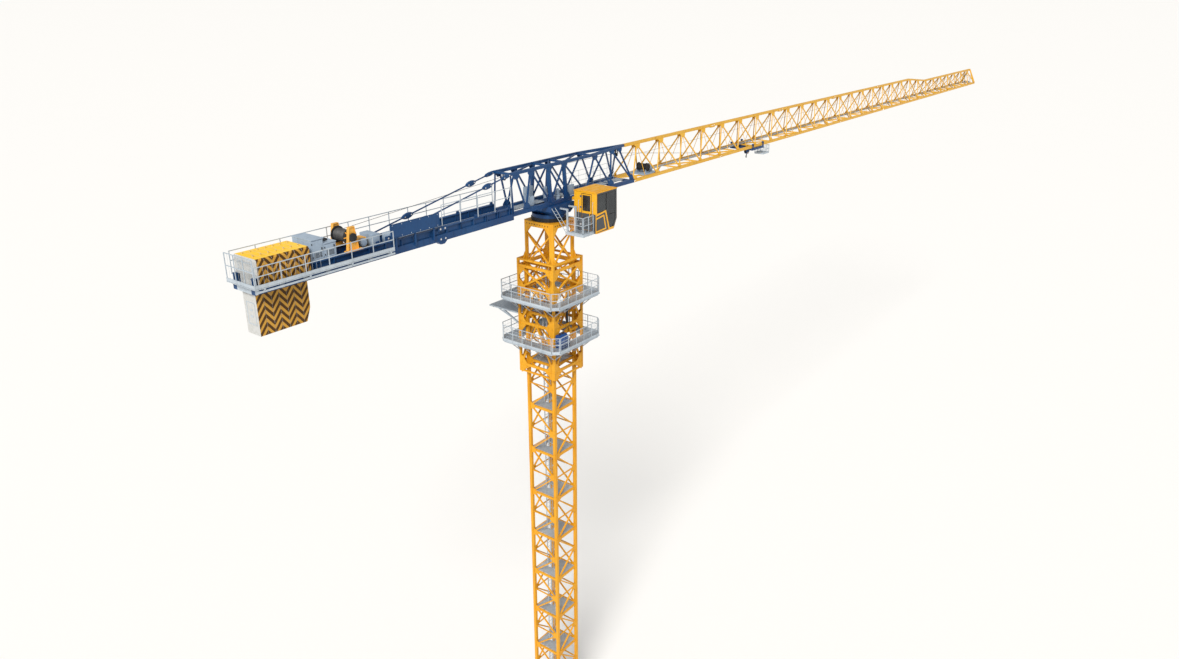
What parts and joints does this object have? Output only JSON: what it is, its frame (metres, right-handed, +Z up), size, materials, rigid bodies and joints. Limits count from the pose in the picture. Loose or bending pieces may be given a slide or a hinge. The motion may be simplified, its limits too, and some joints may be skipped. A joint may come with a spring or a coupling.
{
  "type": "flat-top tower crane, 1:10 scale model",
  "caption": "1:10 scale flat-top tower crane: lattice mast with climbing cage, slewing upperworks, long jib with trolley and hook, counter-jib with ballast, and a side cab.",
  "frame": {"origin": "on the mast's axis, at the underside of the base frame", "axes": "+Z up the mast, +X along the jib from the mast to its tip, +Y to the side away from the cab"},
  "size_m": [9.466, 0.612, 3.639],
  "materials": {
    "yellow_paint": "semi-gloss orange-yellow paint",
    "jib_paint": "semi-gloss yellow paint",
    "blue_paint": "semi-gloss navy paint",
    "galvanised_steel": "galvanised light grey",
    "cab_paint": "gloss orange-yellow paint",
    "tinted_glass": "dark tinted",
    "machine_grey": "grey-blue enamel",
    "winch_paint": "orange-yellow paint",
    "dark_steel": "dark oiled steel",
    "ballast_concrete": "cast concrete, painted in warning chevrons",
    "rope_wire": "greased wire rope",
    "cable_rubber": "black sheath"
  },
  "bodies": {
    "mast": {"base_frame": "yellow_paint", "mast_legs": "yellow_paint", "mast_bracing": "yellow_paint", "mast_ladder": "galvanised_steel", "mast_landings": "galvanised_steel", "power_cable": "cable_rubber", "climbing_rod": "yellow_paint"},
    "cage": {"cage_posts": "yellow_paint", "cage_bracing": "yellow_paint", "cage_platforms": "galvanised_steel", "cage_railings": "galvanised_steel", "cage_shoulders": "yellow_paint", "section_carrier": "galvanised_steel", "climbing_barrel": "dark_steel", "pump_unit": "blue_paint", "slewing_support": "yellow_paint", "support_bracing": "yellow_paint", "slewing_ring": "machine_grey"},
    "upperworks": {"turntable": "blue_paint", "frame_chords": "blue_paint", "frame_floor": "blue_paint", "head_chords": "blue_paint", "head_side_near": "blue_paint", "head_side_far": "blue_paint", "jib_top_chord": "jib_paint", "jib_bottom_chords": "jib_paint", "jib_side_near": "jib_paint", "jib_side_far": "jib_paint", "jib_floor": "jib_paint", "jib_end_frame": "jib_paint", "counter_girders": "blue_paint", "counter_deck": "blue_paint", "counter_walkways": "galvanised_steel", "counter_railings": "galvanised_steel", "ballast_slabs": "ballast_concrete", "tie_bars": "blue_paint", "hoist_winch": "winch_paint", "cabinets": "machine_grey", "sign_board": "blue_paint", "cab_shell": "cab_paint", "cab_glazing": "tinted_glass", "cab_platform": "galvanised_steel", "cab_railing": "galvanised_steel", "trolley_winch": "machine_grey"},
    "hoist_drum": {"hoist_drum": "dark_steel"},
    "cab_door": {"cab_door": "cab_paint"},
    "trolley": {"trolley_frame": "blue_paint", "trolley_basket": "galvanised_steel", "hoist_falls": "rope_wire"},
    "hook_block": {"hook_block": "blue_paint"},
    "hook": {"hook": "dark_steel"}
  },
  "joints": [
    {"name": "climb", "type": "slide", "parent": "mast", "child": "cage", "axis": [0, 0, 1], "range_m": [0, 0.14]},
    {"name": "slew", "type": "hinge", "parent": "cage", "child": "upperworks", "pos_m": [0, 0, 3.35], "axis": [0, 0, 1], "continuous": true},
    {"name": "hoist_drum_turn", "type": "hinge", "parent": "upperworks", "child": "hoist_drum", "pos_m": [-1.3, 0, 3.53], "axis": [0, 1, 0], "continuous": true},
    {"name": "cab_door_hinge", "type": "hinge", "parent": "upperworks", "child": "cab_door", "pos_m": [0.06, -0.171, 3.43], "axis": [0, 0, -1], "range_deg": [0, 95]},
    {"name": "trolley_travel", "type": "slide", "parent": "upperworks", "child": "trolley", "axis": [1, 0, 0], "range_m": [-1.39, 5.27]},
    {"name": "hook_hoist", "type": "slide", "parent": "trolley", "child": "hook_block", "axis": [0, 0, -1], "range_m": [0, 3], "deforming": ["hoist_falls"]},
    {"name": "hook_swivel", "type": "hinge", "parent": "hook_block", "child": "hook", "pos_m": [2.19, 0, 3.37], "axis": [0, 0, 1], "continuous": true}
  ]
}
